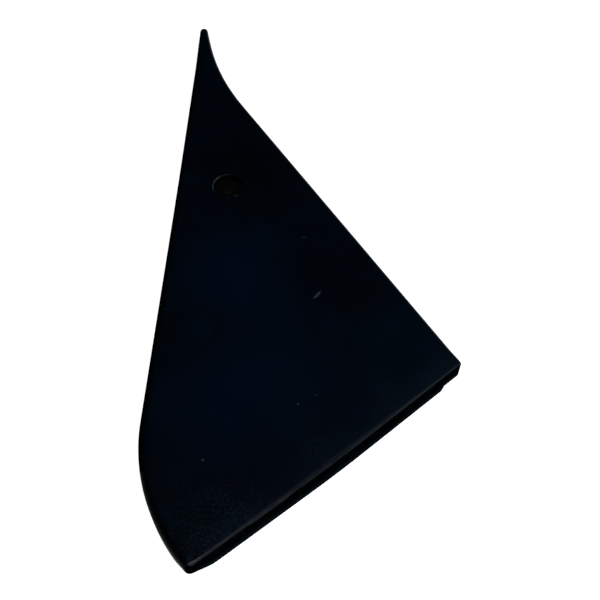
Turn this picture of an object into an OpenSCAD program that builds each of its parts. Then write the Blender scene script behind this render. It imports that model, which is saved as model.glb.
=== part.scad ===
// Side tooth for an excavator bucket: a flat fin-shaped wear blade that slides onto a welded wedge base
// and is kept there by two nested spring pins.
//
// Millimetres, +Z up. The origin is on the weld face, at the middle of the wedge base. +Y runs towards the
// blade's tip, nearly along its long edge, and +Z points out of the blade's face. The wedge leans off +Y, so
// its parts are drawn upright in their own frame, u across and v towards the pin, and then turned.

/* [Blade] */
// Thickness of the blade
blade_t = 13.5; // [12.5:0.5:20]
// Gap under the blade, so that the base alone touches the bucket wall
seat_gap = 0.3; // [0.1:0.1:0.5]
// Height of the parting lip along the foot of the rear edge
lip_h = 5.5; // [2:0.5:9]
// How far the lip stands out of the rear wall
lip_out = 1.4; // [0.5:0.1:2.5]
// Length of rear edge that the lip leaves free at the left corner
lip_start = 8; // [4:1:30]
// Length of rear edge that the lip leaves free at the right corner
lip_stop = 14; // [5:1:40]

/* [Blade outline, measured from the pin axis] */
// Distance to the long left edge
long_edge_offset = 34.6; // [32:0.1:36]
// Lean of the long edge above the pin, in degrees
upper_lean = 1.4; // [0.6:0.1:2]
// Lean of the long edge below the pin, in degrees
lower_lean = 1.8; // [1:0.1:2.2]
// Rise to where the two tip edges would meet
tip_rise = 191.5; // [185:0.5:200]
// Drop to where the long edge and the heel would meet
heel_drop = 217.5; // [205:0.5:218]
// Drop to the rear left corner
corner_drop = 255.3; // [254:0.1:262]
// Rear left corner, to the left of the pin axis
corner_offset = 7.8; // [5:0.1:9]
// Straight length of the rear edge
rear_len = 189; // [184:0.2:196]
// Slope of the rear edge, in degrees
rear_slope = 38.6; // [36:0.1:40]
// Outward bow of the rear edge, at the crossing of its end tangents
rear_bow = 1.9; // [1:0.1:8]
// Length of the right edge, from the rear corner to the claw
side_len = 292.5; // [286:0.5:298]
// Lean of the right edge, in degrees
side_lean = 31.5; // [30.5:0.1:32.5]
// Rounding of the tip
tip_r = 3; // [1:0.1:4]
// Hollow sweep below the tip
claw_r = 218; // [120:1:260]
// Rounding of the heel
heel_r = 112; // [60:1:113]
// Rounding of the rear left corner
left_corner_r = 3.4; // [1:0.1:4]
// Rounding of the rear right corner
right_corner_r = 2.2; // [1:0.1:6]

/* [Wedge base] */
// Distance from the origin to the pin axis
pin_reach = 109; // [104:1:114]
// Lean of the wedge off +Y, in degrees
wedge_lean = 17; // [12:0.5:20]
// Half angle of the wedge, in degrees
wedge_taper = 10; // [8:0.5:12]
// Half width of the base plate at the origin
plate_half_w = 38; // [34:0.5:42]
// Thickness of the base plate
plate_t = 4.5; // [4:0.25:6]
// Distance from the origin back to the plate's rear edge
plate_rear = 60; // [50:1:70]
// Plate left around the pin, towards the tip
nose_wall = 17; // [14:1:20]
// Rounding of the plate's nose
nose_r = 12; // [6:1:14]
// Bevel round the foot of the plate, for the weld to the bucket
weld_bevel = 2; // [1:0.25:3]

/* [Rails] */
// Height of each dovetail rail
rail_h = 4; // [3:0.25:5]
// Width of each rail at its foot
rail_w = 14; // [10:0.5:18]
// Overhang of the dovetail flank
rail_flare = 2.3; // [1.5:0.1:3]
// Where both rails end towards the tip, from the origin
rail_front = 60; // [40:1:70]
// Step from the plate's rear edge to the end of each rail
rail_setback = 6; // [2:1:12]
// Leg of the fillet welds
weld_leg = 3; // [2:0.25:4]

/* [Pocket] */
// Clearance between the blade and the base, across and above
fit_gap = 0.3; // [0.2:0.05:0.5]
// Room in front of the plate's nose
nose_gap = 2; // [1:0.5:4]
// Room behind the plate, which the blade slides into before it lifts off
slide_room = 16; // [15:1:20]

/* [Spring pins] */
// Bore through the blade and the base plate
bore_d = 20; // [18:0.5:22]
// Bore of the outer pin
pin_bore_d = 12; // [11:0.5:13]
// Wall of the inner pin
inner_wall = 2.5; // [2:0.25:3]
// Radial running clearance of each pin
pin_gap = 0.05; // [0.02:0.01:0.1]
// Depth of the pins' ends below the blade's face
pin_recess = 4; // [3:0.5:5]
// Slot of the outer pin
outer_slot = 3; // [2:0.25:4]
// Slot of the inner pin
inner_slot = 2; // [1:0.25:3]
// Lead-in chamfer of the pins
pin_chamfer = 0.8; // [0.4:0.1:1.2]

/* [Hidden] */

arc_steps = 14;
cut = 1;
full_circle = 96;
face_z = seat_gap + blade_t;
plate_pocket_z = plate_t + fit_gap;
rail_pocket_z = plate_t + rail_h + fit_gap;
pin_len = face_z - pin_recess;
bow_r = 10900;
rear_bow_r = 910;

// Heading of the pin from the origin, in the row's own axes.
pin_at = pin_reach * [-sin(wedge_lean), cos(wedge_lean)];

// Corner points of the blade, before rounding.
tip = [tip_rise * tan(upper_lean) - long_edge_offset, tip_rise];
waist = [-long_edge_offset, 0];
heel = [-long_edge_offset - heel_drop * tan(lower_lean), -heel_drop];
rear_left = [-corner_offset, -corner_drop];
rear_along = [cos(rear_slope), sin(rear_slope)];
rear_out = [sin(rear_slope), -cos(rear_slope)];
rear_right = rear_left + rear_len * rear_along;
rear_mid = (rear_left + rear_right) / 2 + rear_bow * rear_out;
claw = rear_right + side_len * [-sin(side_lean), cos(side_lean)];

function unit(v) = v / norm(v);
function heading(v) = atan2(v.y, v.x);

// Points of an arc that rounds one corner between its two neighbours.
function corner_arc(before, corner, after, radius) =
    let (
        to_before = unit(before - corner),
        to_after = unit(after - corner),
        half = acos(to_before * to_after) / 2,
        centre = corner + unit(to_before + to_after) * radius / sin(half),
        start = heading(corner + to_before * radius / tan(half) - centre),
        finish = heading(corner + to_after * radius / tan(half) - centre),
        sweep = (finish - start + 540) % 360 - 180
    )
    [for (i = [0 : arc_steps])
        let (angle = start + sweep * i / arc_steps)
        centre + radius * [cos(angle), sin(angle)]];

// Closed outline with each [point, radius] corner rounded.
function rounded(corners) =
    let (count = len(corners))
    [for (i = [0 : count - 1])
        each corner_arc(corners[(i + count - 1) % count][0], corners[i][0],
            corners[(i + 1) % count][0], corners[i][1])];

blade_outline = rounded([[tip, tip_r], [waist, bow_r], [heel, heel_r], [rear_left, left_corner_r],
    [rear_mid, rear_bow_r], [rear_right, right_corner_r], [claw, claw_r]]);

// Half width of the wedge at v, with a gap measured square to its side.
function wedge_half(v, gap = 0) = plate_half_w - v * tan(wedge_taper) + gap / cos(wedge_taper);

// Rear corner of the wedge on one side (-1 left, 1 right) where its slanted rear edge, v_mid from the
// origin on the centre line, meets the wedge's side.
function wedge_rear(side, v_mid, gap = 0) =
    let (
        slope = tan(rear_slope - wedge_lean),
        v = (side * slope * wedge_half(0, gap) - v_mid) / (1 + side * slope * tan(wedge_taper))
    )
    [side * wedge_half(v, gap), v];

// Wedge outline from its slanted rear edge to a square nose.
function wedge_outline(v_front, v_mid, gap = 0) =
    [wedge_rear(-1, v_mid, gap), wedge_rear(1, v_mid, gap),
        [wedge_half(v_front, gap), v_front], [-wedge_half(v_front, gap), v_front]];

module on_wedge() {
    rotate([0, 0, wedge_lean])
        children();
}

// Lays an extruded section along one side of the wedge: section x runs inwards from the side at v_start,
// section y runs up, and the length runs towards the tip.
module along_side(side, v_start, length) {
    mirror([side > 0 ? 1 : 0, 0, 0])
        translate([-wedge_half(v_start), v_start, 0])
            rotate([0, 0, -wedge_taper])
                rotate([90, 0, 0])
                    mirror([0, 0, 1])
                        linear_extrude(length)
                            children();
}

function rail_rear(side) = wedge_rear(side, plate_rear)[1] + rail_setback;
function rail_len(side) = (rail_front - rail_rear(side)) / cos(wedge_taper);

module blade_prism(height) {
    translate(pin_at)
        linear_extrude(height)
            polygon(blade_outline);
}

// Parting lip: the blade's own outline pushed out over the rear edge, kept between that edge's corners.
module parting_lip() {
    intersection() {
        translate(lip_out * rear_out)
            blade_prism(lip_h);
        translate(pin_at + rear_left)
            rotate([0, 0, rear_slope])
                translate([lip_start, -rear_bow - lip_out - cut, 0])
                    cube([rear_len - lip_start - lip_stop, rear_bow + lip_out + 2 * cut, lip_h]);
    }
}

// Undercut beside one rail, with its clearance, long enough for the blade's travel.
module flank_pocket(side) {
    along_side(side, rail_rear(side) - slide_room, rail_len(side) + slide_room + nose_gap)
        polygon([[cut, plate_t], [-fit_gap, plate_t], [-rail_flare - fit_gap, rail_pocket_z],
            [cut, rail_pocket_z]]);
}

module pocket() {
    on_wedge() {
        translate([0, 0, -cut])
            linear_extrude(plate_pocket_z + cut)
                polygon(wedge_outline(pin_reach + nose_wall + nose_gap, plate_rear + slide_room, fit_gap));
        linear_extrude(rail_pocket_z)
            polygon(wedge_outline(rail_front + nose_gap, plate_rear + slide_room, fit_gap));
        flank_pocket(-1);
        flank_pocket(1);
    }
}

module pin_bore() {
    translate([pin_at.x, pin_at.y, -cut])
        cylinder(d = bore_d, h = face_z + 2 * cut, $fn = full_circle);
}

module tooth_blade() {
    color([0.02, 0.03, 0.06])
        difference() {
            translate([0, 0, seat_gap])
                union() {
                    blade_prism(blade_t);
                    parting_lip();
                }
            pocket();
            pin_bore();
        }
}

module base_plate() {
    plate = wedge_outline(pin_reach + nose_wall, plate_rear);
    plate_corners = [[plate[0], weld_bevel], [plate[1], weld_bevel], [plate[2], nose_r], [plate[3], nose_r]];
    color([0.23, 0.23, 0.24])
        difference() {
            on_wedge()
                linear_extrude(plate_t)
                    polygon(rounded(plate_corners));
            foot_bevel();
            pin_bore();
        }
}

// Weld bevel along the two long sides of the plate's foot.
module foot_bevel() {
    bevel_len = (pin_reach + nose_wall + plate_rear) * 2;
    on_wedge()
        for (side = [-1, 1])
            along_side(side, -bevel_len / 2, bevel_len)
                polygon([[-cut, -cut], [weld_bevel, -cut], [weld_bevel, 0], [0, weld_bevel],
                    [-cut, weld_bevel]]);
}

module rail(side) {
    on_wedge()
        along_side(side, rail_rear(side), rail_len(side))
            polygon([[0, plate_t], [rail_w, plate_t], [rail_w, plate_t + rail_h],
                [-rail_flare, plate_t + rail_h]]);
}

module rail_weld(side) {
    on_wedge()
        along_side(side, rail_rear(side), rail_len(side))
            polygon([[rail_w, plate_t], [rail_w + weld_leg, plate_t], [rail_w, plate_t + weld_leg]]);
}

module left_rail() {
    color([0.28, 0.28, 0.29])
        rail(-1);
}

module right_rail() {
    color([0.28, 0.28, 0.29])
        rail(1);
}

module left_rail_weld() {
    color([0.45, 0.42, 0.4])
        rail_weld(-1);
}

module right_rail_weld() {
    color([0.45, 0.42, 0.4])
        rail_weld(1);
}

// Rolled pin: a chamfered tube with one lengthwise slot, which faces slot_heading.
module spring_pin(outer_r, inner_r, slot_w, slot_heading) {
    translate(pin_at)
        rotate([0, 0, slot_heading])
            difference() {
                rotate_extrude($fn = full_circle)
                    polygon([[inner_r, 0], [outer_r - pin_chamfer, 0], [outer_r, pin_chamfer],
                        [outer_r, pin_len - pin_chamfer], [outer_r - pin_chamfer, pin_len],
                        [inner_r, pin_len]]);
                translate([0, -slot_w / 2, -cut])
                    cube([outer_r + cut, slot_w, pin_len + 2 * cut]);
            }
}

module outer_spring_pin() {
    color([0.12, 0.12, 0.13])
        spring_pin(bore_d / 2 - pin_gap, pin_bore_d / 2, outer_slot, 0);
}

module inner_spring_pin() {
    inner_r = pin_bore_d / 2 - pin_gap;
    color([0.16, 0.16, 0.17])
        spring_pin(inner_r, inner_r - inner_wall, inner_slot, 180);
}

tooth_blade();
base_plate();
left_rail();
right_rail();
left_rail_weld();
right_rail_weld();
outer_spring_pin();
inner_spring_pin();
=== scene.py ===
import math

import bmesh
import bpy
import numpy as np
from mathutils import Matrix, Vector, noise


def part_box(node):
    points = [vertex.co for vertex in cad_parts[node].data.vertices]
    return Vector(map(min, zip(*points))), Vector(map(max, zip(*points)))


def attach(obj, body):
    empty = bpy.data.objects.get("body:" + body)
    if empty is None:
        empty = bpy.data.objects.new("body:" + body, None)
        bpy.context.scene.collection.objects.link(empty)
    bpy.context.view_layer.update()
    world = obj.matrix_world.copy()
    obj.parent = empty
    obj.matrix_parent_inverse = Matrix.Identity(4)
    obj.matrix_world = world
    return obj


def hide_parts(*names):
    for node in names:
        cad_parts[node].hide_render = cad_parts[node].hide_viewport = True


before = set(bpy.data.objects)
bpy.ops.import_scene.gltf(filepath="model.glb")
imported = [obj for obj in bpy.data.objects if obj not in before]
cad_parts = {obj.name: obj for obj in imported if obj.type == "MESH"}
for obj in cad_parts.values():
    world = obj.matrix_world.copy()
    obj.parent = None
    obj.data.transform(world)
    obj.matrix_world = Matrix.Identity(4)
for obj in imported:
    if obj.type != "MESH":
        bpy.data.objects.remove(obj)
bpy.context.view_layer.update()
print("frame loaded:", ", ".join(sorted(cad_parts)))

mm = 0.001
bladeLow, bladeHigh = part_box("tooth_blade")
plateLow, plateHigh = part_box("base_plate")
railLow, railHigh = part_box("left_rail")
pinLow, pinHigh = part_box("outer_spring_pin")

# the wedge base leans off +Y and narrows towards the pin; every hidden piece shares this
wedge = {
    "lean": math.radians(17),
    "taper": math.radians(10),
    "halfWidth": 38 * mm,
    "pinReach": 109 * mm,
    "noseWall": 17 * mm,
    "rear": 60 * mm,
    "railFront": 60 * mm,
    "railSetback": 6 * mm,
}
pinAt = Vector((-math.sin(wedge["lean"]), math.cos(wedge["lean"]))) * wedge["pinReach"]


def hexColor(code):
    # sRGB hex to the linear values that Blender's sockets take
    parts = [int(code[i:i + 2], 16) / 255 for i in (1, 3, 5)]
    linear = [p / 12.92 if p <= 0.04045 else ((p + 0.055) / 1.055) ** 2.4 for p in parts]
    return (*linear, 1.0)


def feed(tree, node, inputs):
    # each value is a constant, a socket, or a node whose first live output is meant
    for socket, value in inputs.items():
        if isinstance(value, bpy.types.Node):
            value = next(output for output in value.outputs if output.enabled)
        if isinstance(value, bpy.types.NodeSocket):
            tree.links.new(value, node.inputs[socket])
        else:
            node.inputs[socket].default_value = value


def addNode(tree, kind, inputs=None, **settings):
    node = tree.nodes.new(kind)
    for name, value in settings.items():
        setattr(node, name, value)
    feed(tree, node, inputs or {})
    return node


def newObject(name, data):
    piece = bpy.data.objects.new(name, data)
    bpy.context.scene.collection.objects.link(piece)
    return piece


def meshFrom(name, points, faces):
    mesh = bpy.data.meshes.new(name)
    mesh.from_pydata(points, [], faces)
    bm = bmesh.new()
    bm.from_mesh(mesh)
    bmesh.ops.remove_doubles(bm, verts=bm.verts, dist=2e-6)
    bmesh.ops.recalc_face_normals(bm, faces=bm.faces)
    bm.to_mesh(mesh)
    bm.free()
    return mesh


def shade(mesh, angle=35):
    mesh.shade_smooth()
    mesh.set_sharp_from_angle(angle=math.radians(angle))


def applyModifiers(piece):
    evaluated = piece.evaluated_get(bpy.context.evaluated_depsgraph_get())
    mesh = bpy.data.meshes.new_from_object(evaluated)
    piece.modifiers.clear()
    piece.data = mesh


def cutAway(piece, cutter):
    cut = piece.modifiers.new("cut", "BOOLEAN")
    cut.operation = "DIFFERENCE"
    cut.solver = "EXACT"
    cut.object = cutter
    bpy.context.view_layer.update()
    applyModifiers(piece)
    bpy.data.objects.remove(cutter)


def tubeFromLoops(name, loops, capEnds=False):
    # closed loops of equal length, joined in order
    count = len(loops[0])
    points = [p for loop in loops for p in loop]
    faces = []
    for k in range(len(loops) - 1):
        for i in range(count):
            j = (i + 1) % count
            faces.append((k * count + i, k * count + j, (k + 1) * count + j, (k + 1) * count + i))
    if capEnds:
        faces.append(tuple(range(count)))
        faces.append(tuple(range(len(points) - count, len(points))))
    return meshFrom(name, points, faces)


outline = {
    "longEdgeOffset": 34.6 * mm,
    "upperLean": math.radians(1.4),
    "lowerLean": math.radians(1.8),
    "tipRise": 191.5 * mm,
    "heelDrop": 217.5 * mm,
    "cornerDrop": 255.3 * mm,
    "cornerOffset": 7.8 * mm,
    "rearLen": 189 * mm,
    "rearSlope": math.radians(38.6),
    "rearBow": 1.9 * mm,
    "sideLen": 292.5 * mm,
    "sideLean": math.radians(31.5),
    "tipRadius": 3 * mm,
    "waistRadius": 10900 * mm,
    "heelRadius": 112 * mm,
    "leftCornerRadius": 3.4 * mm,
    "rightCornerRadius": 2.2 * mm,
    "rearRadius": 910 * mm,
    "clawRadius": 218 * mm,
    "arcSteps": 24,
    "longestStep": 3.6 * mm,
}
rearAlong = Vector((math.cos(outline["rearSlope"]), math.sin(outline["rearSlope"])))
rearOut = Vector((rearAlong.y, -rearAlong.x))


def cornerArc(before, corner, after, radius, steps):
    toBefore = (before - corner).normalized()
    toAfter = (after - corner).normalized()
    half = toBefore.angle(toAfter) / 2
    centre = corner + (toBefore + toAfter).normalized() * radius / math.sin(half)
    start = corner + toBefore * radius / math.tan(half) - centre
    finish = corner + toAfter * radius / math.tan(half) - centre
    first = math.atan2(start.y, start.x)
    sweep = (math.atan2(finish.y, finish.x) - first + 3 * math.pi) % (2 * math.pi) - math.pi
    arc = []
    for i in range(steps + 1):
        angle = first + sweep * i / steps
        arc.append(centre + Vector((math.cos(angle), math.sin(angle))) * radius)
    return arc


def bladeArcs(o):
    # the seven corners, counter-clockwise from the tip, each rounded
    tip = Vector((o["tipRise"] * math.tan(o["upperLean"]) - o["longEdgeOffset"], o["tipRise"]))
    waist = Vector((-o["longEdgeOffset"], 0))
    heel = Vector((-o["longEdgeOffset"] - o["heelDrop"] * math.tan(o["lowerLean"]), -o["heelDrop"]))
    rearLeft = Vector((-o["cornerOffset"], -o["cornerDrop"]))
    rearRight = rearLeft + rearAlong * o["rearLen"]
    rearMid = (rearLeft + rearRight) / 2 + rearOut * o["rearBow"]
    claw = rearRight + Vector((-math.sin(o["sideLean"]), math.cos(o["sideLean"]))) * o["sideLen"]
    corners = [(tip, o["tipRadius"]), (waist, o["waistRadius"]), (heel, o["heelRadius"]),
               (rearLeft, o["leftCornerRadius"]), (rearMid, o["rearRadius"]),
               (rearRight, o["rightCornerRadius"]), (claw, o["clawRadius"])]
    points = [point + pinAt for point, radius in corners]
    return [cornerArc(points[i - 1], points[i], points[(i + 1) % 7], corners[i][1], o["arcSteps"])
            for i in range(7)]


rearEnds = [arc[0] for arc in bladeArcs(outline)[4:6]]
rearLine = rearEnds[0].dot(rearOut)
rearFrom, rearTo = (end.dot(rearAlong) for end in rearEnds)


def subdivided(chain, longest):
    dense = [chain[0]]
    for a, b in zip(chain, chain[1:]):
        parts = max(1, math.ceil((b - a).length / longest))
        dense += [a.lerp(b, i / parts) for i in range(1, parts + 1)]
    return dense


def lengthsAlong(chain):
    lengths = [0.0]
    for a, b in zip(chain, chain[1:]):
        lengths.append(lengths[-1] + (b - a).length)
    return lengths


def pointAt(chain, lengths, want):
    k = int(np.searchsorted(lengths, want, side="right")) - 1
    k = max(0, min(k, len(chain) - 2))
    span = lengths[k + 1] - lengths[k]
    t = 0.0 if span == 0 else (want - lengths[k]) / span
    return chain[k].lerp(chain[k + 1], max(0.0, min(1.0, t)))


def inwardNormals(points, side):
    # side is 1 where the blade lies to the left of travel, -1 to the right
    normals = []
    for i in range(len(points)):
        along = points[min(i + 1, len(points) - 1)] - points[max(i - 1, 0)]
        normals.append(Vector((-along.y, along.x)).normalized() * side)
    return normals


blade = {
    "longEdgeRound": 5.5 * mm,     # the long edge is rolled over widest
    "sideEdgeRound": 2.6 * mm,
    "rearEdgeRound": 1.8 * mm,
    "rearEdgeEase": (12 * mm, 10 * mm),   # starts this far before the corner, over this length
    "tipEdgeRound": 1.5 * mm,
    "tipEdgeGrowth": 0.09,
    "cornerEdgeRound": 3.0 * mm,
    "cornerEdgeReach": 10 * mm,
    "footRound": 0.9 * mm,
    "cornerFoot": (3.0 * mm, 6.5 * mm),   # blunter at the rear left corner: how deep, how high
    "cornerFootReach": 14 * mm,
    "roundSteps": 7,
    "faceColumns": 58,
    "underColumns": 12,
    "endSpan": 10 * mm,
    "lipTop": 5.2 * mm,
    "lipOut": 1.3 * mm,
    # heights over the lip's top, each with its share of the way out
    "lipSection": [(-0.7 * mm, 1), (-0.25 * mm, 0.86), (0, 0.5), (0.3 * mm, 0.14), (0.9 * mm, 0)],
    "lipStart": 8 * mm,
    "lipStop": 14 * mm,
    "lipEase": 1.2 * mm,
    "shapedDepth": 6 * mm,
    "rollOff": 0.28 * mm,          # the face eases down towards its edges
    "rollWidth": 9 * mm,
    "waves": 0.10 * mm,            # forging waves left in the face
    "waveSize": 34 * mm,
    # x, y, radius and depth, in mm
    "dents": [(26.0, 14.6, 3.2, 0.35), (18.1, 59.7, 1.6, 0.18), (-35.4, -93.0, 1.4, 0.15),
              (14.5, -59.7, 1.3, 0.14), (-44.0, -62.0, 5.0, 0.16), (52.0, -38.0, 4.0, 0.14)],
    "heelStart": -100 * mm,        # below this the long edge turns the heel
    "boreRadius": 10 * mm,
    "boreRimRound": 0.35 * mm,
}


def edgeRound(wanted, fromTip, fromCorner):
    # the rolled edge narrows towards the tip, and both sides meet in one rounding at the other end
    nearTip = blade["tipEdgeRound"] + blade["tipEdgeGrowth"] * fromTip
    return blended(blade["cornerEdgeRound"], min(wanted, nearTip),
                   fromCorner / blade["cornerEdgeReach"])


def blended(a, b, t):
    t = max(0.0, min(1.0, t))
    t = t * t * (3 - 2 * t)
    return a + (b - a) * t


def bladeStations():
    arcs = bladeArcs(outline)
    half = outline["arcSteps"] // 2
    left = arcs[0][half:] + arcs[1] + arcs[2] + arcs[3][:half + 1]
    right = arcs[3][half:] + arcs[4] + arcs[5] + arcs[6] + arcs[0][:half + 1]
    left = subdivided(left, outline["longestStep"])
    right = subdivided(right[::-1], outline["longestStep"])
    leftLengths, rightLengths = lengthsAlong(left), lengthsAlong(right)
    endSpan = blade["endSpan"]     # both chains keep the same spacing near their shared ends
    scale = (leftLengths[-1] - 2 * endSpan) / (rightLengths[-1] - 2 * endSpan)
    leftPoints, leftAt = [], []
    for d in rightLengths:
        if d < endSpan:
            want = d
        elif d > rightLengths[-1] - endSpan:
            want = leftLengths[-1] - (rightLengths[-1] - d)
        else:
            want = endSpan + (d - endSpan) * scale
        leftPoints.append(pointAt(left, leftLengths, want))
        leftAt.append(want)
    rearCorner = arcs[5][half]
    cornerAt = rightLengths[min(range(len(right)), key=lambda i: (right[i] - rearCorner).length)]
    return leftPoints, leftAt, leftLengths[-1], right, rightLengths, cornerAt


def wallColumn(point, inward, radius, lip, fromCorner):
    # points from the foot of the wall up to the face's rounded edge
    nearCorner = fromCorner / blade["cornerFootReach"]
    footDeep, footHigh = (blended(at, blade["footRound"], nearCorner) for at in blade["cornerFoot"])
    out = rearOut * blade["lipOut"] * lip
    column = []
    for i in range(4):
        angle = math.pi / 2 * i / 3
        flat = point + inward * footDeep * (1 - math.sin(angle)) + out
        column.append(Vector((flat.x, flat.y, bladeLow.z + footHigh * (1 - math.cos(angle)))))
    lipTop = bladeLow.z + max(blade["lipTop"], footHigh + 0.8 * mm)
    for above, share in blade["lipSection"]:
        flat = point + out * share
        column.append(Vector((flat.x, flat.y, lipTop + above)))
    wallTop = bladeHigh.z - radius
    column.append(Vector((point.x, point.y, (lipTop + blade["lipSection"][-1][0] + wallTop) / 2)))
    for i in range(blade["roundSteps"] + 1):
        angle = math.pi / 2 * i / blade["roundSteps"]
        flat = point + inward * radius * (1 - math.cos(angle))
        column.append(Vector((flat.x, flat.y, wallTop + radius * math.sin(angle))))
    return column


def bladeShell():
    leftPoints, leftAt, leftTotal, rightPoints, rightAt, cornerAt = bladeStations()
    leftIn = inwardNormals(leftPoints, 1)
    rightIn = inwardNormals(rightPoints, -1)
    columns, underColumns = blade["faceColumns"], blade["underColumns"]
    easeBefore, easeLength = blade["rearEdgeEase"]
    loops = []
    for k in range(len(rightPoints)):
        fromCorner, pastCorner = rightAt[-1] - rightAt[k], rightAt[k] - cornerAt
        leftRadius = edgeRound(blade["longEdgeRound"], leftAt[k], leftTotal - leftAt[k])
        # the side's rounding eases into the crisper rear edge round the rear right corner
        wanted = blended(blade["sideEdgeRound"], blade["rearEdgeRound"],
                         (pastCorner + easeBefore) / easeLength)
        rightRadius = edgeRound(wanted, rightAt[k], fromCorner)
        lip = blended(0, 1, (pastCorner - blade["lipStop"]) / blade["lipEase"])
        lip *= blended(0, 1, fromCorner / (2 * blade["lipStart"]))
        left = wallColumn(leftPoints[k], leftIn[k], leftRadius, 0, leftTotal - leftAt[k])
        right = wallColumn(rightPoints[k], rightIn[k], rightRadius, lip, fromCorner)
        across = [left[-1].lerp(right[-1], i / columns) for i in range(1, columns)]
        under = [right[0].lerp(left[0], i / underColumns) for i in range(1, underColumns)]
        loops.append(left + across + right[::-1] + under)
    return tubeFromLoops("tooth_blade_shell", loops)


def shapeFace(mesh):
    # roll-off, forging waves and dents, all cut into the face and never above it
    arcs = bladeArcs(outline)
    ring = subdivided([p for arc in arcs for p in arc] + [arcs[0][0]], 3 * mm)
    edge = np.array([(p.x, p.y) for p in ring])
    starts, spans = edge[:-1], np.diff(edge, axis=0)
    spanSquared = np.maximum((spans ** 2).sum(1), 1e-18)
    for vertex in mesh.vertices:
        depth = bladeHigh.z - vertex.co.z
        if depth > blade["shapedDepth"]:
            continue
        flat = np.array((vertex.co.x, vertex.co.y))
        t = np.clip(((flat - starts) * spans).sum(1) / spanSquared, 0, 1)
        gap = float(np.sqrt(((flat - starts - spans * t[:, None]) ** 2).sum(1).min()))
        low = blade["rollOff"] * math.exp(-gap / blade["rollWidth"])
        spot = Vector((vertex.co.x, vertex.co.y, 0)) / blade["waveSize"]
        low += blade["waves"] * (0.5 + 0.5 * noise.fractal(spot, 1.0, 2.0, 3))
        for x, y, radius, deep in blade["dents"]:
            away = (vertex.co.xy - Vector((x, y)) * mm).length / (radius * mm)
            if away < 3:
                low += deep * mm * math.exp(-away * away)
        vertex.co.z -= low * max(0.0, 1 - depth / blade["shapedDepth"])


def turned(name, profile, steps=96):
    # a profile of (radius, z) spun round the pin axis into a closed cutter
    angles = [2 * math.pi * i / steps for i in range(steps)]
    loops = []
    for radius, z in profile:
        loops.append([Vector((pinAt.x + radius * math.cos(angle),
                              pinAt.y + radius * math.sin(angle), z)) for angle in angles])
    return newObject(name, tubeFromLoops(name, loops, capEnds=True))


def boreCutter():
    radius, rim = blade["boreRadius"], blade["boreRimRound"]
    top = bladeHigh.z + 0.05 * mm
    profile = [(radius, plateHigh.z - 2 * mm)]
    for i in range(7):
        angle = math.pi / 2 * i / 6
        profile.append((radius + rim * (1 - math.cos(angle)),
                        top - rim * 1.4 + rim * math.sin(angle)))
    profile.append((radius + rim * 1.6, top + 2 * mm))
    return turned("bore_cutter", profile)


def wedgeHalf(v, gap=0.0):
    return wedge["halfWidth"] - v * math.tan(wedge["taper"]) + gap / math.cos(wedge["taper"])


def wedgeRear(side, rear, gap=0.0):
    # where the slanted rear edge meets one side of the wedge, -1 on the left and 1 on the right
    slope = math.tan(outline["rearSlope"] - wedge["lean"])
    v = (side * slope * wedgeHalf(0, gap) - rear) / (1 + side * slope * math.tan(wedge["taper"]))
    return Vector((side * wedgeHalf(v, gap), v))


def wedgeOutline(front, rear, gap=0.0):
    half = wedgeHalf(front, gap)
    return [wedgeRear(-1, rear, gap), wedgeRear(1, rear, gap),
            Vector((half, front)), Vector((-half, front))]


def onWedge(flat, z):
    # from the wedge's own frame to the row's
    c, s = math.cos(wedge["lean"]), math.sin(wedge["lean"])
    return Vector((flat.x * c - flat.y * s, flat.x * s + flat.y * c, z))


def wedgeCutter(name, levels):
    # levels of (z, front, rear, gap), lowest first
    loops = [[onWedge(p, z) for p in wedgeOutline(front, rear, gap)]
             for z, front, rear, gap in levels]
    return newObject(name, tubeFromLoops(name, loops, capEnds=True))


pocket = {
    "gap": 0.3 * mm,
    "noseGap": 2 * mm,
    "slideRoom": 16 * mm,
    "mouthBevel": 0.8 * mm,
    "mouthSpread": 3 * mm,         # how much wider the cutter is at its foot, below the mouth
    "flare": 2.3 * mm,
}


def cutPocket(piece):
    front = wedge["pinReach"] + wedge["noseWall"] + pocket["noseGap"]
    rear = wedge["rear"] + pocket["slideRoom"]
    gap, bevel, spread = pocket["gap"], pocket["mouthBevel"], pocket["mouthSpread"]
    cutAway(piece, wedgeCutter("plate_pocket", [
        (bladeLow.z - 2 * mm, front + spread, rear + spread, gap + spread),
        (bladeLow.z + bevel, front, rear, gap),
        (plateHigh.z + gap, front, rear, gap)]))
    railFront = wedge["railFront"] + pocket["noseGap"]
    cutAway(piece, wedgeCutter("rail_pocket", [
        (plateHigh.z - 1 * mm, railFront, rear, gap - 0.02 * mm),
        (plateHigh.z, railFront, rear, gap),
        (railHigh.z + gap, railFront, rear, gap + pocket["flare"] * math.cos(wedge["taper"]))]))


def makeBlade():
    piece = newObject("side_tooth_blade", bladeShell())
    cutPocket(piece)
    cutAway(piece, boreCutter())
    shapeFace(piece.data)
    for vertex in piece.data.vertices:
        # an arc with more steps stands a hair prouder than the same arc with fewer
        vertex.co = [min(max(c, low), high) for c, low, high in zip(vertex.co, bladeLow, bladeHigh)]
    shade(piece.data)
    return piece


bladePiece = makeBlade()
print("blade made:", len(bladePiece.data.polygons), "faces")


pins = {
    "outer": {"radius": 9.94 * mm, "bore": 6.0 * mm, "slot": 3.0 * mm, "heading": 0},
    "inner": {"radius": 5.94 * mm, "bore": 3.45 * mm, "slot": 2.0 * mm, "heading": math.pi},
    "chamfer": 0.8 * mm,
    "edgeRound": 0.18 * mm,
    "turnSteps": 84,
}


def roundedLoop(corners, radius, steps=3):
    # every corner of a closed (radius, z) section eased by the same small radius
    loop = []
    for i, corner in enumerate(corners):
        before, after = corners[i - 1], corners[(i + 1) % len(corners)]
        loop += cornerArc(Vector(before), Vector(corner), Vector(after), radius, steps)
    return loop


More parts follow.
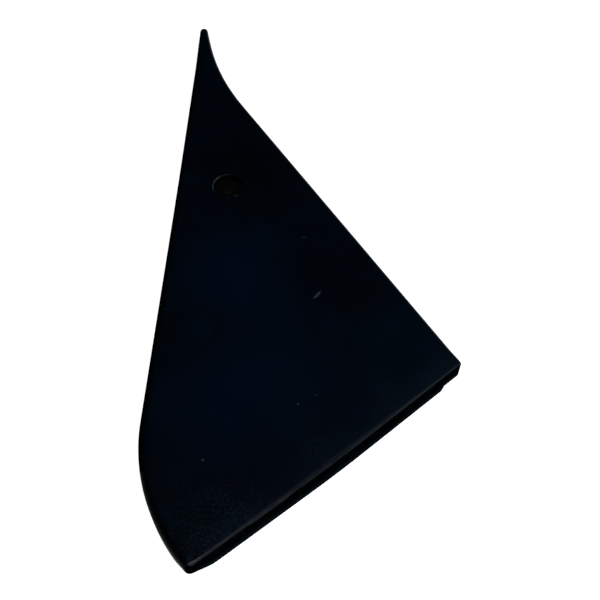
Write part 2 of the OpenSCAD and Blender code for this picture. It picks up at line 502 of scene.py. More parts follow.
def makeSpringPin(name, sizes):
    low, high = pinLow.z, pinHigh.z
    bore, radius, chamfer = sizes["bore"], sizes["radius"], pins["chamfer"]
    corners = [(bore, low), (radius - chamfer, low), (radius, low + chamfer),
               (radius, high - chamfer), (radius - chamfer, high), (bore, high)]
    section = roundedLoop(corners, pins["edgeRound"])
    halfSlot = sizes["slot"] / 2
    loops = []
    for k in range(pins["turnSteps"] + 1):
        share = k / pins["turnSteps"]
        loop = []
        for r, z in section:
            # the slot's two faces are parallel, so each radius starts at its own angle
            gapAngle = math.asin(halfSlot / r)
            angle = sizes["heading"] + gapAngle + (2 * math.pi - 2 * gapAngle) * share
            loop.append(Vector((pinAt.x + r * math.cos(angle), pinAt.y + r * math.sin(angle), z)))
        loops.append(loop)
    piece = newObject(name, tubeFromLoops(name, loops, capEnds=True))
    shade(piece.data, 30)
    return piece


outerPin = makeSpringPin("outer_pin_coil", pins["outer"])
innerPin = makeSpringPin("inner_pin_coil", pins["inner"])
print("spring pins made")


base = {
    "rearCornerRound": 2 * mm,
    "noseRound": 12 * mm,
    "leastRound": 0.4 * mm,
    "rearInset": 1.07,             # the slanted rear edge moves further along the axis than inward
    "footBevel": 2 * mm,
    "topRound": 0.5 * mm,
    "railWidth": 14 * mm,
    "railFlare": 2.3 * mm,
    "railRound": 0.4 * mm,
}


def plateOutline(inset):
    corners = wedgeOutline(wedge["pinReach"] + wedge["noseWall"] - inset,
                           wedge["rear"] - inset * base["rearInset"], -inset)
    radii = [base["rearCornerRound"]] * 2 + [base["noseRound"]] * 2
    ring = []
    for i in range(4):
        radius = max(base["leastRound"], radii[i] - inset)
        ring += cornerArc(corners[i - 1], corners[i], corners[(i + 1) % 4], radius, 10)
    return ring


def makeBasePlate():
    low, high = plateLow.z, plateHigh.z
    bevel, top = base["footBevel"], base["topRound"]
    levels = [(low, bevel), (low + 0.2 * mm, bevel - 0.15 * mm), (low + bevel, 0.0)]
    for i in range(5):
        angle = math.pi / 2 * i / 4
        levels.append((high - top * (1 - math.sin(angle)), top * (1 - math.cos(angle))))
    loops = [[onWedge(p, z) for p in plateOutline(inset)] for z, inset in levels]
    piece = newObject("wedge_base_plate", tubeFromLoops("wedge_base_plate", loops, capEnds=True))
    bore = blade["boreRadius"]
    cutAway(piece, turned("plate_bore", [(bore, low - 1 * mm), (bore, high + 1 * mm)]))
    shade(piece.data)
    return piece


def railRear(side):
    return wedgeRear(side, wedge["rear"]).y + wedge["railSetback"]


def alongSide(side, start, inward, run, z):
    # a point beside one side of the wedge: inward from the side, run along it towards the tip
    along = Vector((math.sin(wedge["taper"]), math.cos(wedge["taper"])))
    across = Vector((math.cos(wedge["taper"]), -math.sin(wedge["taper"])))
    flat = Vector((-wedgeHalf(start), start)) + across * inward + along * run
    return onWedge(Vector((-side * flat.x, flat.y)), z)


def makeRail(name, side):
    start = railRear(side)
    length = (wedge["railFront"] - start) / math.cos(wedge["taper"])
    low, high = railLow.z, railHigh.z
    width, flare, ease = base["railWidth"], base["railFlare"], base["railRound"]
    corners = [(0, low), (width, low), (width, high), (-flare, high)]
    middle = Vector((width / 2 - flare / 2, (low + high) / 2))
    loops = []
    for run, inset in ((0, ease), (ease, 0), (length - ease, 0), (length, ease)):
        shrink = Vector((1 - inset / width, 1 - inset / (high - low) * 1.2))
        ring = []
        for p in roundedLoop(corners, ease):
            q = middle + (p - middle) * shrink
            ring.append(alongSide(side, start, q.x, run, q.y))
        loops.append(ring)
    piece = newObject(name, tubeFromLoops(name, loops, capEnds=True))
    shade(piece.data)
    return piece


basePlate = makeBasePlate()
leftRail = makeRail("left_dovetail_rail", -1)
rightRail = makeRail("right_dovetail_rail", 1)
print("wedge base made")


bead = {
    "leg": 3.0 * mm,
    "ripplePitch": 2.1 * mm,
    "rippleDepth": 0.07,
    "wander": 0.16,
    "stepsPerRipple": 8,
    "endGap": 1.2 * mm,
    "seeds": {"left": 2.0, "right": 7.0},
}


def beadTree():
    # a quarter-round section swept along the foot of a rail, rippled crest by crest
    tree = bpy.data.node_groups.new("fillet_bead", "GeometryNodeTree")
    sockets = {"Start": "Vector", "End": "Vector", "Leg": "Float", "Ripple Pitch": "Float",
               "Ripple Depth": "Float", "Wander": "Float", "Steps": "Int", "Seed": "Float",
               "Material": "Material"}
    for label, kind in sockets.items():
        tree.interface.new_socket(label, in_out="INPUT", socket_type="NodeSocket" + kind)
    tree.interface.new_socket("Geometry", in_out="OUTPUT", socket_type="NodeSocketGeometry")
    given = addNode(tree, "NodeGroupInput").outputs
    line = addNode(tree, "GeometryNodeCurvePrimitiveLine", {
        "Start": given["Start"], "End": given["End"]})
    path = addNode(tree, "GeometryNodeResampleCurve", {"Curve": line, "Count": given["Steps"]})
    length = addNode(tree, "GeometryNodeCurveLength", {"Curve": line})
    section = addNode(tree, "GeometryNodeCurveArc", {
        "Radius": given["Leg"], "Start Angle": 0.0, "Sweep Angle": math.pi / 2, "Resolution": 10,
        "Connect Center": True})
    middle = addNode(tree, "GeometryNodeCaptureAttribute", {"Geometry": path}, domain="POINT")
    middle.capture_items.new("VECTOR", "Centre")
    middle.capture_items.new("FLOAT", "Share")
    position = addNode(tree, "GeometryNodeInputPosition")
    along = addNode(tree, "GeometryNodeSplineParameter")
    feed(tree, middle, {"Centre": position, "Share": along})
    swept = addNode(tree, "GeometryNodeCurveToMesh", {
        "Curve": middle.outputs["Geometry"], "Profile Curve": section, "Fill Caps": True})
    arm = addNode(tree, "ShaderNodeVectorMath", {0: position, 1: middle.outputs["Centre"]},
                  operation="SUBTRACT")
    reach = addNode(tree, "ShaderNodeVectorMath", {0: arm}, operation="LENGTH")
    run = addNode(tree, "ShaderNodeMath", {0: middle.outputs["Share"], 1: length},
                  operation="MULTIPLY")
    # crests bend back where the section stands highest, as a pool freezes from its edges
    height = addNode(tree, "ShaderNodeSeparateXYZ", {0: arm}).outputs["Z"]
    lag = addNode(tree, "ShaderNodeMath", {0: height, 1: 0.5, 2: run}, operation="MULTIPLY_ADD")
    turns = addNode(tree, "ShaderNodeMath", {0: lag, 1: given["Ripple Pitch"]}, operation="DIVIDE")
    phase = addNode(tree, "ShaderNodeMath", {0: turns, 1: 2 * math.pi}, operation="MULTIPLY")
    wave = addNode(tree, "ShaderNodeMath", {0: phase}, operation="SINE")
    crest = addNode(tree, "ShaderNodeMath", {0: wave, 1: given["Ripple Depth"]},
                    operation="MULTIPLY")
    drift = addNode(tree, "ShaderNodeTexNoise", {
        "W": given["Seed"], "Vector": position, "Scale": 160.0}, noise_dimensions="4D")
    centred = addNode(tree, "ShaderNodeMath", {0: drift, 1: 0.62}, operation="SUBTRACT")
    loose = addNode(tree, "ShaderNodeMath", {0: centred, 1: given["Wander"]}, operation="MULTIPLY")
    swell = addNode(tree, "ShaderNodeMath", {0: crest, 1: loose}, operation="ADD")
    # the corner of the section, where the two plates meet, stays where it is
    clear = addNode(tree, "ShaderNodeMath", {0: reach, 1: 1e-6}, operation="GREATER_THAN")
    grow = addNode(tree, "ShaderNodeMath", {0: swell, 1: clear}, operation="MULTIPLY")
    offset = addNode(tree, "ShaderNodeVectorMath", {0: arm, "Scale": grow}, operation="SCALE")
    shaped = addNode(tree, "GeometryNodeSetPosition", {"Geometry": swept, "Offset": offset})
    smooth = addNode(tree, "GeometryNodeSetShadeSmooth", {"Geometry": shaped, "Shade Smooth": True})
    real = addNode(tree, "GeometryNodeRealizeInstances", {"Geometry": smooth})
    named = addNode(tree, "GeometryNodeSetMaterial", {
        "Geometry": real, "Material": given["Material"]})
    addNode(tree, "NodeGroupOutput", {"Geometry": named})
    return tree


def makeBead(name, tree, side, seed, material):
    start = railRear(side)
    length = (wedge["railFront"] - start) / math.cos(wedge["taper"])
    ends = [alongSide(side, start, base["railWidth"], run, plateHigh.z)
            for run in (bead["endGap"], length - bead["endGap"])]
    if side < 0:
        # the quarter section then falls between the rail and the plate on both sides
        ends.reverse()
    piece = newObject(name, bpy.data.meshes.new(name))
    sweep = piece.modifiers.new("bead", "NODES")
    sweep.node_group = tree
    values = {"Start": ends[0], "End": ends[1], "Leg": bead["leg"],
              "Ripple Pitch": bead["ripplePitch"], "Ripple Depth": bead["rippleDepth"],
              "Wander": bead["wander"], "Seed": seed, "Material": material,
              "Steps": int(length / bead["ripplePitch"] * bead["stepsPerRipple"])}
    for item in tree.interface.items_tree:
        if item.in_out == "INPUT":
            sweep[item.identifier] = values[item.name]
    bpy.context.view_layer.update()
    applyModifiers(piece)
    shade(piece.data, 60)
    return piece


def startMaterial(name, patterns=None):
    # a Principled surface and its noise patterns, each sized by how wide its features really are
    material = bpy.data.materials.new(name)
    material.use_nodes = True
    tree = material.node_tree
    tree.nodes.clear()
    shader = addNode(tree, "ShaderNodeBsdfPrincipled")
    addNode(tree, "ShaderNodeOutputMaterial", {"Surface": shader})
    where = addNode(tree, "ShaderNodeTexCoord").outputs["Object"]
    noises = {}
    for k, (label, (size, detail, rough)) in enumerate((patterns or {}).items()):
        placed = addNode(tree, "ShaderNodeMapping", {
            "Vector": where, "Location": (1.7 * k, 0.9 * k, 0.4 * k), "Scale": [1 / size] * 3})
        noises[label] = addNode(tree, "ShaderNodeTexNoise", {
            "Vector": placed, "Scale": 1.0, "Detail": detail, "Roughness": rough})
    return material, tree, shader, where, noises


paint = {
    "coat": "#010711",
    "coatShade": "#01050D",
    "coatLight": "#010A17",
    "roughness": 0.22,
    "roughnessDrift": 0.10,
    "specular": 0.14,
    # how wide the features are, then detail and roughness
    "patterns": {"broad": (75 * mm, 2.0, 0.5), "cloud": (20 * mm, 4.0, 0.6),
                 "fine": (1.5 * mm, 3.0, 0.7), "peel": (1.1 * mm, 1.0, 0.5),
                 "forged": (9 * mm, 3.0, 0.55)},
    # soft round patches where the face is coloured lighter or darker: x, y, radius and fade in mm,
    # strength, colour
    "zones": [(-22, 33, 12, 42, 0.8, "#010F20"), (-6, -42, 16, 50, 0.75, "#010E1D"),
              (-12, 118, 12, 44, 0.8, "#030308"), (72, -14, 6, 46, 0.5, "#010F19"),
              (-34, -62, 10, 44, 0.7, "#010C1B"), (0, 14, 8, 34, 0.6, "#010E1C"),
              (-44, -8, 2, 14, 0.5, "#02111D"), (26, 36, 10, 32, 0.8, "#01030B"),
              (52, 10, 4, 22, 0.5, "#030309")],
    "rearPaintedSheen": "#0A1722",         # painted sheen: the coat is coloured paler towards the rear edge
    "rearSheenBand": (24 * mm, 4 * mm),    # from inside the edge to beyond it
    "rearSheenStart": 70 * mm,      # how far left of the rear edge's left end it starts
    "rearSheenShare": (0.0, 0.68),  # at the left end and at the right
    "rearDullBand": (3.6 * mm, 1.4 * mm),
    "rearDullRun": (8 * mm, 60 * mm),     # from the right end: where it starts and is whole
    "rearDull": 0.8,
    "dust": "#162D35",
    "dustAllOver": 0.05,
    "dustDulls": 0.5,
    "dustZones": [(-34, -134, 8, 22, 0.65), (-14, -116, 6, 20, 0.4), (-42, -104, 6, 22, 0.2),
                  (-50, -10, 2, 18, 0.1), (20, -82, 4, 22, 0.25), (60, -52, 4, 20, 0.2)],
    "chipMetal": "#2A3234",
    # bare spots: x, y, half length, half width and heading, in mm and degrees
    "chips": [(26.0, 14.6, 3.6, 1.0, 51), (18.1, 59.7, 0.8, 0.5, 20),
              (-35.4, -93.0, 0.8, 0.6, 0), (14.5, -59.7, 0.7, 0.5, 60),
              (24.4, -54.1, 0.6, 0.4, 120), (-26.2, 95.3, 1.3, 0.5, 33)],
    "rim": "#6A7072",
    "rimSide": (-0.97, 0.24, 0),
    "rimReach": (6.5 * mm, 9.3 * mm),
    "rimDepth": 0.7 * mm,
    "rimShare": 0.45,
    # painted shade on the rolled left edge
    "leftEdgePaintedShade": "#000102",
}


def softPatch(tree, flat, x, y, radius, fade, strength):
    # a round patch that is gone at radius plus fade
    away = addNode(tree, "ShaderNodeVectorMath", {0: flat, 1: (x * mm, y * mm, 0)},
                   operation="DISTANCE")
    return addNode(tree, "ShaderNodeMapRange", {
        "Value": away, "From Min": (radius + fade) * mm, "From Max": max(0, radius - fade) * mm,
        "To Max": strength}, interpolation_type="SMOOTHSTEP")


def bluedBlackPaint():
    # satin chassis enamel over forged steel: clouded, dusty low down and chipped to the metal
    material, tree, shader, where, noises = startMaterial(
        "blue_black_chassis_enamel", paint["patterns"])
    flat = addNode(tree, "ShaderNodeVectorMath", {0: where, 1: (1, 1, 0)}, operation="MULTIPLY")
    cloudy = addNode(tree, "ShaderNodeMapRange", {
        "Value": noises["broad"], "From Min": 0.38, "From Max": 0.62},
        interpolation_type="SMOOTHSTEP")
    lighter = addNode(tree, "ShaderNodeMapRange", {
        "Value": noises["cloud"], "From Min": 0.44, "From Max": 0.70, "To Max": 0.8},
        interpolation_type="SMOOTHSTEP")
    layers = [(cloudy, paint["coat"]), (lighter, paint["coatLight"])]
    for *patch, color in paint["zones"]:
        layers.append((softPatch(tree, flat, *patch), color))
    fromRear = addNode(tree, "ShaderNodeVectorMath", {0: flat, 1: (*rearOut, 0)},
                       operation="DOT_PRODUCT")
    alongRear = addNode(tree, "ShaderNodeVectorMath", {0: flat, 1: (*rearAlong, 0)},
                        operation="DOT_PRODUCT")
    # painted sheen: a paler band of coat along the rear edge, stronger towards its right end
    inside, beyond = paint["rearSheenBand"]
    sheenAcross = addNode(tree, "ShaderNodeMapRange", {
        "Value": fromRear, "From Min": rearLine - inside, "From Max": rearLine + beyond},
        interpolation_type="SMOOTHERSTEP")
    handed = addNode(tree, "ShaderNodeMapRange", {
        "Value": alongRear, "From Min": rearFrom - paint["rearSheenStart"], "From Max": rearTo,
        "To Min": paint["rearSheenShare"][0], "To Max": paint["rearSheenShare"][1]})
    paintedSheen = addNode(tree, "ShaderNodeMath", {0: sheenAcross, 1: handed}, operation="MULTIPLY")
    layers.append((paintedSheen, paint["rearPaintedSheen"]))
    # painted shade: where the long left edge rolls over, the coat is mixed to near black
    normal = addNode(tree, "ShaderNodeNewGeometry").outputs["Normal"]
    leftEdgeShade = addNode(tree, "ShaderNodeMapRange", {
        "Value": addNode(tree, "ShaderNodeSeparateXYZ", {0: normal}).outputs["X"],
        "From Min": -0.06, "From Max": -0.42}, interpolation_type="SMOOTHSTEP")
    layers.append((leftEdgeShade, paint["leftEdgePaintedShade"]))
    # dust lies in soft drifts, broken up by the grain of the coat
    dusty = paint["dustAllOver"]
    for patch in paint["dustZones"]:
        dusty = addNode(tree, "ShaderNodeMath", {0: dusty, 1: softPatch(tree, flat, *patch)},
                        operation="ADD")
    specks = addNode(tree, "ShaderNodeMapRange", {
        "Value": noises["fine"], "From Min": 0.38, "From Max": 0.78},
        interpolation_type="SMOOTHSTEP")
    broken = addNode(tree, "ShaderNodeMath", {0: specks, 1: noises["cloud"]}, operation="MULTIPLY")
    dusty = addNode(tree, "ShaderNodeMath", {0: dusty, 1: broken},
                    operation="MULTIPLY", use_clamp=True)
    layers.append((dusty, paint["dust"]))
    # the bore's rim is coloured bright in broken arcs, most of all towards the long edge
    fromPin = addNode(tree, "ShaderNodeVectorMath", {0: flat, 1: (pinAt.x, pinAt.y, 0)},
                      operation="SUBTRACT")
    offRim = addNode(tree, "ShaderNodeVectorMath", {0: fromPin}, operation="LENGTH")
    offRim = addNode(tree, "ShaderNodeMath", {0: offRim, 1: blade["boreRadius"] + 0.3 * mm},
                     operation="SUBTRACT")
    offRim = addNode(tree, "ShaderNodeMath", {0: offRim}, operation="ABSOLUTE")
    rim = addNode(tree, "ShaderNodeMapRange", {
        "Value": offRim, "From Min": 0.55 * mm, "From Max": 0.2 * mm},
        interpolation_type="SMOOTHSTEP")
    height = addNode(tree, "ShaderNodeSeparateXYZ", {0: where}).outputs["Z"]
    top = addNode(tree, "ShaderNodeMath", {0: height, 1: bladeHigh.z - paint["rimDepth"]},
                  operation="GREATER_THAN")
    side = addNode(tree, "ShaderNodeVectorMath", {0: fromPin, 1: paint["rimSide"]},
                   operation="DOT_PRODUCT")
    rubbed = addNode(tree, "ShaderNodeMapRange", {
        "Value": side, "From Min": paint["rimReach"][0], "From Max": paint["rimReach"][1],
        "To Min": 0.05, "To Max": 1.0}, interpolation_type="SMOOTHSTEP")
    arcs = addNode(tree, "ShaderNodeMapRange", {
        "Value": noises["peel"], "From Min": 0.40, "From Max": 0.62},
        interpolation_type="SMOOTHSTEP")
    for share in (top, rubbed, arcs, paint["rimShare"]):
        rim = addNode(tree, "ShaderNodeMath", {0: rim, 1: share}, operation="MULTIPLY")
    layers.append((rim, paint["rim"]))
    # chips: small ellipses with ragged edges, down to dull metal
    ragged = addNode(tree, "ShaderNodeMath", {0: noises["peel"], 1: 0.9, 2: -0.45},
                     operation="MULTIPLY_ADD")
    bare = 0.0
    for x, y, halfLength, halfWidth, heading in paint["chips"]:
        placed = addNode(tree, "ShaderNodeMapping", {
            "Vector": flat, "Location": (x * mm, y * mm, 0),
            "Rotation": (0, 0, math.radians(heading)),
            "Scale": (halfLength * mm, halfWidth * mm, 1)}, vector_type="TEXTURE")
        reach = addNode(tree, "ShaderNodeVectorMath", {0: placed}, operation="LENGTH")
        uneven = addNode(tree, "ShaderNodeMath", {0: reach, 1: ragged}, operation="ADD")
        spot = addNode(tree, "ShaderNodeMapRange", {
            "Value": uneven, "From Min": 1.15, "From Max": 0.75}, interpolation_type="SMOOTHSTEP")
        bare = addNode(tree, "ShaderNodeMath", {0: bare, 1: spot}, operation="MAXIMUM")
    layers.append((bare, paint["chipMetal"]))
    tone = hexColor(paint["coatShade"])
    for share, color in layers:
        tone = addNode(tree, "ShaderNodeMix", {"Factor": share, "A": tone, "B": hexColor(color)},
                       data_type="RGBA")
    gloss = addNode(tree, "ShaderNodeMath", {
        0: noises["broad"], 1: paint["roughnessDrift"], 2: paint["roughness"]},
        operation="MULTIPLY_ADD")
    gloss = addNode(tree, "ShaderNodeMath", {0: dusty, 1: paint["dustDulls"], 2: gloss},
                    operation="MULTIPLY_ADD")
    # the rounded rear edge is scuffed dull in places, so it shines in broken lengths
    inside, whole = paint["rearDullBand"]
    dulled = addNode(tree, "ShaderNodeMapRange", {
        "Value": fromRear, "From Min": rearLine - inside, "From Max": rearLine - whole},
        interpolation_type="SMOOTHSTEP")
    start, whole = paint["rearDullRun"]
    rubbing = addNode(tree, "ShaderNodeMapRange", {
        "Value": alongRear, "From Min": rearTo - start, "From Max": rearTo - whole},
        interpolation_type="SMOOTHSTEP")
    for share in (rubbing, noises["forged"]):
        dulled = addNode(tree, "ShaderNodeMath", {0: dulled, 1: share}, operation="MULTIPLY")
    gloss = addNode(tree, "ShaderNodeMath", {0: dulled, 1: paint["rearDull"], 2: gloss},
                    operation="MULTIPLY_ADD")
    relief = addNode(tree, "ShaderNodeMath", {0: noises["peel"], 1: 0.15, 2: noises["forged"]},
                     operation="MULTIPLY_ADD")
    bump = addNode(tree, "ShaderNodeBump", {
        "Strength": 0.22, "Distance": 0.15 * mm, "Height": relief})
    feed(tree, shader, {"Base Color": tone, "Roughness": gloss, "Normal": bump,
                        "Specular IOR Level": paint["specular"]})
    return material


edgeScale = {
    "dark": "#000101",
    "light": "#020406",
    "lip": "#0B1519",
    "patterns": {"mottle": (6 * mm, 4.0, 0.6), "grit": (0.9 * mm, 2.0, 0.6)},
}


def scorchedEdge(name, sheen, roughness):
    # a flame-cut wall under thin paint: sooty and flat, so it stays darker than the face
    material, tree, shader, where, noises = startMaterial(name, edgeScale["patterns"])
    mottled = addNode(tree, "ShaderNodeMapRange", {
        "Value": noises["mottle"], "From Min": 0.40, "From Max": 0.66},
        interpolation_type="SMOOTHSTEP")
    # the parting lip at its foot is coloured lighter, broken up by grit
    lipTop = bladeLow.z + blade["lipTop"]
    height = addNode(tree, "ShaderNodeSeparateXYZ", {0: where}).outputs["Z"]
    foot = addNode(tree, "ShaderNodeMapRange", {
        "Value": height, "From Min": lipTop + 0.4 * mm, "From Max": lipTop - 0.6 * mm},
        interpolation_type="SMOOTHSTEP")
    gritty = addNode(tree, "ShaderNodeMath", {0: foot, 1: noises["grit"]}, operation="MULTIPLY")
    tone = hexColor(edgeScale["dark"])
    for share, color in ((mottled, edgeScale["light"]), (gritty, edgeScale["lip"])):
        tone = addNode(tree, "ShaderNodeMix", {"Factor": share, "A": tone, "B": hexColor(color)},
                       data_type="RGBA")
    bump = addNode(tree, "ShaderNodeBump", {
        "Strength": 0.5, "Distance": 0.12 * mm, "Height": noises["grit"]})
    feed(tree, shader, {"Base Color": tone, "Roughness": roughness, "Normal": bump,
                        "Specular IOR Level": sheen})
    return material


steel = {
    "metallic": 0.85,
    "fineShare": 0.12,             # the fine pattern's width, as a share of the drift's
    "roughnessDrift": 0.2,
}


def darkSteel(name, light, dark, roughness, size):
    # plain steel with scale left on it, in two tones that drift over size
    material, tree, shader, _, noises = startMaterial(name, {
        "mottle": (size, 5.0, 0.55), "fine": (size * steel["fineShare"], 2.0, 0.55)})
    share = addNode(tree, "ShaderNodeMapRange", {
        "Value": noises["mottle"], "From Min": 0.35, "From Max": 0.65},
        interpolation_type="SMOOTHSTEP")
    tone = addNode(tree, "ShaderNodeMix", {
        "Factor": share, "A": hexColor(dark), "B": hexColor(light)}, data_type="RGBA")
    gloss = addNode(tree, "ShaderNodeMath", {
        0: noises["fine"], 1: steel["roughnessDrift"], 2: roughness}, operation="MULTIPLY_ADD")
    bump = addNode(tree, "ShaderNodeBump", {
        "Strength": 0.3, "Distance": 0.05 * mm, "Height": noises["fine"]})
    feed(tree, shader, {"Base Color": tone, "Metallic": steel["metallic"], "Roughness": gloss,
                        "Normal": bump})
    return material


rolled = {
    "end": "#030303",
    "flank": "#0B0B0C",
    "scratch": (0.5 * mm, 9 * mm),   # driving marks: how wide and how long
    "scale": 1.4 * mm,
    "specular": 0.05,
    "roughness": 0.75,
    "roughnessWorn": -0.35,          # what rubbing takes off it
}


def rolledPin(name, worn):
    # rolled spring steel: sooty ends, and flanks streaked bright lengthwise by driving it in
    material, tree, shader, where, noises = startMaterial(
        name, {"scale": (rolled["scale"], 3.0, 0.6)})
    wide, long = rolled["scratch"]
    drawn = addNode(tree, "ShaderNodeMapping", {
        "Vector": where, "Scale": (1 / wide, 1 / wide, 1 / long)})
    streak = addNode(tree, "ShaderNodeTexNoise", {"Vector": drawn, "Scale": 1.0, "Detail": 2.0})
    # only the outside of the roll faces away from the pin's axis
    normal = addNode(tree, "ShaderNodeNewGeometry").outputs["Normal"]
    outward = addNode(tree, "ShaderNodeVectorMath", {0: where, 1: (pinAt.x, pinAt.y, 0)},
                      operation="SUBTRACT")
    outward = addNode(tree, "ShaderNodeVectorMath", {0: outward, 1: (1, 1, 0)},
                      operation="MULTIPLY")
    outward = addNode(tree, "ShaderNodeVectorMath", {0: outward}, operation="NORMALIZE")
    facing = addNode(tree, "ShaderNodeVectorMath", {0: normal, 1: outward}, operation="DOT_PRODUCT")
    flank = addNode(tree, "ShaderNodeMapRange", {
        "Value": facing, "From Min": 0.8, "From Max": 0.97}, interpolation_type="SMOOTHSTEP")
    bright = addNode(tree, "ShaderNodeMapRange", {
        "Value": streak, "From Min": 0.50, "From Max": 0.68}, interpolation_type="SMOOTHSTEP")
    rubbed = addNode(tree, "ShaderNodeMath", {0: flank, 1: bright}, operation="MULTIPLY")
    tone = hexColor(rolled["end"])
    for share, color in ((flank, rolled["flank"]), (rubbed, worn)):
        tone = addNode(tree, "ShaderNodeMix", {"Factor": share, "A": tone, "B": hexColor(color)},
                       data_type="RGBA")
    gloss = addNode(tree, "ShaderNodeMath", {
        0: rubbed, 1: rolled["roughnessWorn"], 2: rolled["roughness"]}, operation="MULTIPLY_ADD")
    bump = addNode(tree, "ShaderNodeBump", {
        "Strength": 0.3, "Distance": 0.05 * mm, "Height": noises["scale"]})
    feed(tree, shader, {"Base Color": tone, "Metallic": rubbed, "Roughness": gloss,
                        "Normal": bump, "Specular IOR Level": rolled["specular"]})
    return material


bladePaint = bluedBlackPaint()
bladeEdge = scorchedEdge("flame_cut_scale", 0.0, 0.8)
heelEdge = scorchedEdge("rubbed_flame_cut_scale", 0.01, 0.5)
millScale = darkSteel("mill_scale_plate", "#4A4644", "#2E2C2C", 0.45, 14 * mm)
milledBar = darkSteel("dulled_milled_bar", "#7C7A76", "#5A5855", 0.35, 8 * mm)
weldMetal = darkSteel("heat_tinted_weld", "#7A6A5A", "#4B4A55", 0.38, 5 * mm)
outerPhosphate = rolledPin("black_phosphate_spring_steel", "#6E6F72")
innerPhosphate = rolledPin("oiled_spring_steel", "#8A8B8E")

beadNodes = beadTree()
leftBead = makeBead("left_fillet_bead", beadNodes, -1, bead["seeds"]["left"], weldMetal)
rightBead = makeBead("right_fillet_bead", beadNodes, 1, bead["seeds"]["right"], weldMetal)
print("welds made:", len(leftBead.data.polygons), "and", len(rightBead.data.polygons), "faces")


pieces = [
    (bladePiece, "tooth", "tooth_blade", "blade_paint", bladePaint),
    (basePlate, "tooth", "base_plate", "base_steel", millScale),
    (leftRail, "tooth", "left_rail", "rail_steel", milledBar),
    (rightRail, "tooth", "right_rail", "rail_steel", milledBar),
    (leftBead, "tooth", "left_rail_weld", "weld_metal", weldMetal),
    (rightBead, "tooth", "right_rail_weld", "weld_metal", weldMetal),
    (outerPin, "outer_pin", "outer_spring_pin", "outer_pin_steel", outerPhosphate),
    (innerPin, "inner_pin", "inner_spring_pin", "inner_pin_steel", innerPhosphate),
]
for piece, body, node, slotName, material in pieces:
    piece.data.materials.clear()
    piece.data.materials.append(material)
    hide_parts(node)
    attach(piece, body)
# the walls below the rounded edge, and the bore, are sooty instead of painted
bladePiece.data.materials.append(bladeEdge)
bladePiece.data.materials.append(heelEdge)
wallFrom = bladeHigh.z - blade["rearEdgeRound"] * 0.62
boreFrom = bladeHigh.z - 0.8 * mm
for face in bladePiece.data.polygons:
    at, facing = face.center, face.normal
    nearRear = at.xy.dot(rearOut) > rearLine - 12 * mm
    rearWall = at.z < wallFrom and facing.xy.dot(rearOut) > 0.35 and nearRear
    # painted shade: the left wall and the steeper part of its rolled edge take the near-black scale
    # too
    leftWall = facing.x < -0.4 and at.x < -wedge["halfWidth"]
    boreWall = at.z < boreFrom and (at.xy - pinAt).length < blade["boreRadius"] + 0.05 * mm
    if rearWall or boreWall:
        face.material_index = 1
    elif leftWall:
        face.material_index = 1 if at.y > blade["heelStart"] else 2
print("pieces ride on their bodies")


studio = {
    "lens": 50,
    "sensor": 36,
    "elevation": math.radians(54.25),
    "distance": 498.4 * mm,
    "aimFromPin": Vector((47.46, -93.64)) * mm,
    "floorSize": 16.0,
    "floor": "#F4F4F4",
    "tableGlow": 0.85,             # a light table, so that hardly a shadow falls round the blade
    "overhead": "#0A0E14",
    "pale": "#A9BDD2",
    "paleBelow": (0.55, 0.12),     # how high up the air starts to pale, and is wholly pale
    "flagHeading": (-0.78, 0.62, 0),
    "flagEdge": (0.62, 0.12),
    "backdrop": "#E6E9EC",
}


def makeFloor():
    half = studio["floorSize"] / 2
    mesh = bpy.data.meshes.new("studio_floor")
    mesh.from_pydata([(-half, -half, 0), (half, -half, 0), (half, half, 0), (-half, half, 0)],
                     [], [(0, 1, 2, 3)])
    floor = newObject("studio_floor", mesh)
    material, tree, shader, _, _ = startMaterial("pale_light_table")
    feed(tree, shader, {"Base Color": hexColor(studio["floor"]), "Roughness": 0.9,
                        "Specular IOR Level": 0.1, "Emission Color": hexColor("#FFFFFF"),
                        "Emission Strength": studio["tableGlow"]})
    mesh.materials.append(material)


def addSoftbox(name, place, size, watts):
    # aimed at the middle of the floor
    light = bpy.data.lights.new(name, "AREA")
    light.shape = "RECTANGLE"
    light.size, light.size_y = size
    light.energy = watts
    box = newObject(name, light)
    box.location = place
    box.rotation_euler = (-Vector(place)).to_track_quat("-Z", "Y").to_euler()


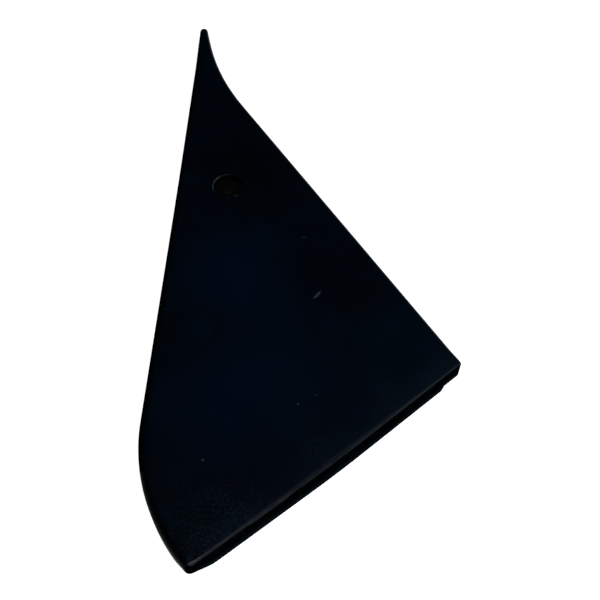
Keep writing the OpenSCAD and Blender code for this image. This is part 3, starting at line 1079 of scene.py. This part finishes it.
def makeWorld():
    # dark overhead and past a black flag at the back left, pale low down the rest of the way round
    world = bpy.data.worlds.new("studio_air")
    bpy.context.scene.world = world
    world.use_nodes = True
    tree = world.node_tree
    tree.nodes.clear()
    heading = addNode(tree, "ShaderNodeTexCoord").outputs["Generated"]
    height = addNode(tree, "ShaderNodeSeparateXYZ", {0: heading}).outputs["Z"]
    low = addNode(tree, "ShaderNodeMapRange", {
        "Value": height, "From Min": studio["paleBelow"][0], "From Max": studio["paleBelow"][1]},
        interpolation_type="SMOOTHSTEP")
    flag = addNode(tree, "ShaderNodeVectorMath", {0: heading, 1: studio["flagHeading"]},
                   operation="DOT_PRODUCT")
    lit = addNode(tree, "ShaderNodeMapRange", {
        "Value": flag, "From Min": studio["flagEdge"][0], "From Max": studio["flagEdge"][1]},
        interpolation_type="SMOOTHSTEP")
    share = addNode(tree, "ShaderNodeMath", {0: low, 1: lit}, operation="MULTIPLY")
    air = addNode(tree, "ShaderNodeMix", {
        "Factor": share, "A": hexColor(studio["overhead"]), "B": hexColor(studio["pale"])},
        data_type="RGBA")
    sky = addNode(tree, "ShaderNodeBackground", {"Color": air, "Strength": 1.0})
    # the backdrop itself is plain and pale
    backdrop = addNode(tree, "ShaderNodeBackground", {
        "Color": hexColor(studio["backdrop"]), "Strength": 1.0})
    seen = addNode(tree, "ShaderNodeLightPath").outputs["Is Camera Ray"]
    both = addNode(tree, "ShaderNodeMixShader", {0: seen, 1: sky, 2: backdrop})
    addNode(tree, "ShaderNodeOutputWorld", {"Surface": both})


def makeCamera():
    aimAt = pinAt + studio["aimFromPin"]
    aim = Vector((aimAt.x, aimAt.y, bladeHigh.z))
    back = Vector((0, -math.cos(studio["elevation"]), math.sin(studio["elevation"])))
    data = bpy.data.cameras.new("main_camera")
    data.lens = studio["lens"]
    data.sensor_width = studio["sensor"]
    data.clip_start = 0.01
    camera = newObject("main_camera", data)
    camera.location = aim + back * studio["distance"]
    camera.rotation_euler = (-back).to_track_quat("-Z", "Y").to_euler()
    bpy.context.scene.camera = camera


makeFloor()
makeWorld()
makeCamera()
addSoftbox("front_softbox", (0.35, -0.55, 1.5), (0.8, 0.8), 14)
addSoftbox("right_fill", (1.3, -0.9, 1.1), (0.9, 0.6), 6)
bpy.context.scene.view_settings.view_transform = "Standard"
print("studio made")
